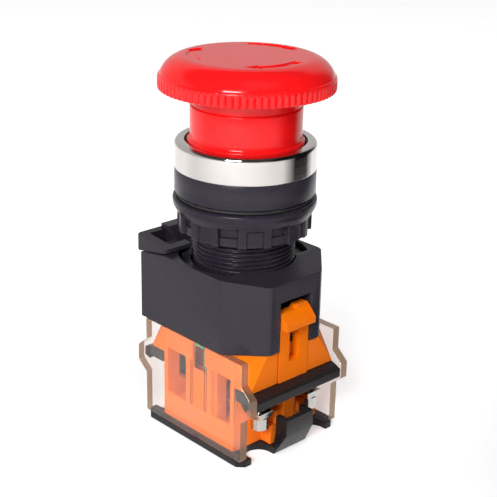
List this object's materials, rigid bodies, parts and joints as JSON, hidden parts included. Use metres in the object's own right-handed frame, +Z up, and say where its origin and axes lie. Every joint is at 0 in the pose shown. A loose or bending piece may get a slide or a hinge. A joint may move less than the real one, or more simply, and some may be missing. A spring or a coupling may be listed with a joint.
{
  "type": "emergency stop button",
  "caption": "Panel mounted emergency stop switch: red twist-release mushroom head, threaded barrel with ring nut, adaptor with lock lever, and a screw terminal contact block.",
  "frame": {"origin": "underside of the base plate, on the axis of the button", "axes": "+Z up along the button's axis to the mushroom head, X along the contact block between its two terminal ends, -Y the side of the normally open contact"},
  "size_m": [0.0381, 0.0368, 0.0839],
  "materials": {
    "red_plastic": "semi-gloss moulded",
    "black_plastic": "satin moulded",
    "black_shield": "satin moulded",
    "orange_plastic": "satin moulded",
    "clear_plastic": "clear, slightly brown tint",
    "green_plastic": "moulded",
    "slider_red": "moulded",
    "natural_plastic": "moulded",
    "bezel_chrome": "polished",
    "nickel_steel": "nickel plated",
    "spring_steel": "drawn wire",
    "copper_alloy": "stamped strip",
    "contact_silver": "silver rivet",
    "black_rubber": "matt"
  },
  "bodies": {
    "base": {"base_plate": "black_shield", "contact_base": "orange_plastic", "side_cover_front": "clear_plastic", "side_cover_rear": "clear_plastic", "terminal_shield_right": "black_shield", "terminal_shield_left": "black_shield", "fixed_contacts_no": "nickel_steel", "fixed_contacts_nc": "nickel_steel", "fixed_tips": "contact_silver", "terminal_screws": "nickel_steel", "terminal_clamps": "nickel_steel", "return_spring_no": "spring_steel", "return_spring_nc": "spring_steel", "housing": "black_plastic", "operator_barrel": "black_plastic", "bezel_ring": "bezel_chrome", "stem_seal": "black_rubber", "cam_ring": "natural_plastic", "main_spring": "spring_steel"},
    "plunger": {"plunger": "natural_plastic", "latch_pin": "nickel_steel", "retaining_clip": "spring_steel", "cap_circlip": "spring_steel"},
    "head": {"mushroom_cap": "red_plastic", "stem_sleeve": "red_plastic", "torsion_spring": "spring_steel"},
    "slider_no": {"slider_no": "green_plastic", "contact_spring_no": "spring_steel"},
    "slider_nc": {"slider_nc": "slider_red", "contact_spring_nc": "spring_steel"},
    "bridge_no": {"bridge_no": "copper_alloy", "bridge_tips_no": "contact_silver"},
    "bridge_nc": {"bridge_nc": "copper_alloy", "bridge_tips_nc": "contact_silver"},
    "gasket": {"panel_gasket": "black_rubber"},
    "nut": {"ring_nut": "black_plastic"},
    "lock": {"lock_lever": "black_plastic"},
    "latch_right": {"latch_right": "orange_plastic"},
    "latch_left": {"latch_left": "orange_plastic"}
  },
  "joints": [
    {"name": "button_push", "type": "slide", "parent": "base", "child": "plunger", "axis": [0, 0, -1], "range_m": [0, 0.0055], "stiffness_N_per_m": 800, "springref_m": -0.012, "deforming": ["main_spring"]},
    {"name": "button_turn", "type": "hinge", "parent": "plunger", "child": "head", "pos_m": [0, 0, 0.0772], "axis": [0, 0, -1], "range_deg": [0, 40], "stiffness_Nm_per_rad": 0.03, "springref_deg": -17.19},
    {"name": "slider_no_push", "type": "slide", "parent": "base", "child": "slider_no", "axis": [0, 0, -1], "range_m": [0, 0.0055], "stiffness_N_per_m": 60, "springref_m": -0.006, "deforming": ["return_spring_no", "contact_spring_no"]},
    {"name": "slider_nc_push", "type": "slide", "parent": "base", "child": "slider_nc", "axis": [0, 0, -1], "range_m": [0, 0.0055], "stiffness_N_per_m": 60, "springref_m": -0.006, "deforming": ["return_spring_nc", "contact_spring_nc"]},
    {"name": "bridge_no_push", "type": "slide", "parent": "base", "child": "bridge_no", "axis": [0, 0, -1], "range_m": [0, 0.00275]},
    {"name": "bridge_nc_push", "type": "slide", "parent": "base", "child": "bridge_nc", "axis": [0, 0, -1], "range_m": [0, 0.0044]},
    {"name": "nut_travel", "type": "slide", "parent": "base", "child": "gasket", "axis": [0, 0, -1], "range_m": [0, 0.0025]},
    {"name": "nut_turn", "type": "hinge", "parent": "gasket", "child": "nut", "pos_m": [0, 0, 0.05], "axis": [0, 0, -1], "range_deg": [0, 900]},
    {"name": "lock_turn", "type": "hinge", "parent": "base", "child": "lock", "pos_m": [0, 0, 0.039], "axis": [0, 0, -1], "range_deg": [0, 30]},
    {"name": "latch_right_flex", "type": "hinge", "parent": "base", "child": "latch_right", "pos_m": [0.016, 0, 0.017], "axis": [0, 1, 0], "range_deg": [0, 8], "stiffness_Nm_per_rad": 0.25, "springref_deg": -1.72},
    {"name": "latch_left_flex", "type": "hinge", "parent": "base", "child": "latch_left", "pos_m": [-0.016, 0, 0.017], "axis": [0, -1, 0], "range_deg": [0, 8], "stiffness_Nm_per_rad": 0.25, "springref_deg": -1.72}
  ],
  "couplings": [
    {"joint": "slider_no_push", "follows": "button_push", "ratio": 1},
    {"joint": "slider_nc_push", "follows": "button_push", "ratio": 1},
    {"joint": "bridge_no_push", "follows": "button_push", "ratio": 0.5},
    {"joint": "bridge_nc_push", "follows": "button_push", "ratio": 0.8},
    {"joint": "nut_travel", "follows": "nut_turn", "m_per_rad": 0.00015915}
  ]
}
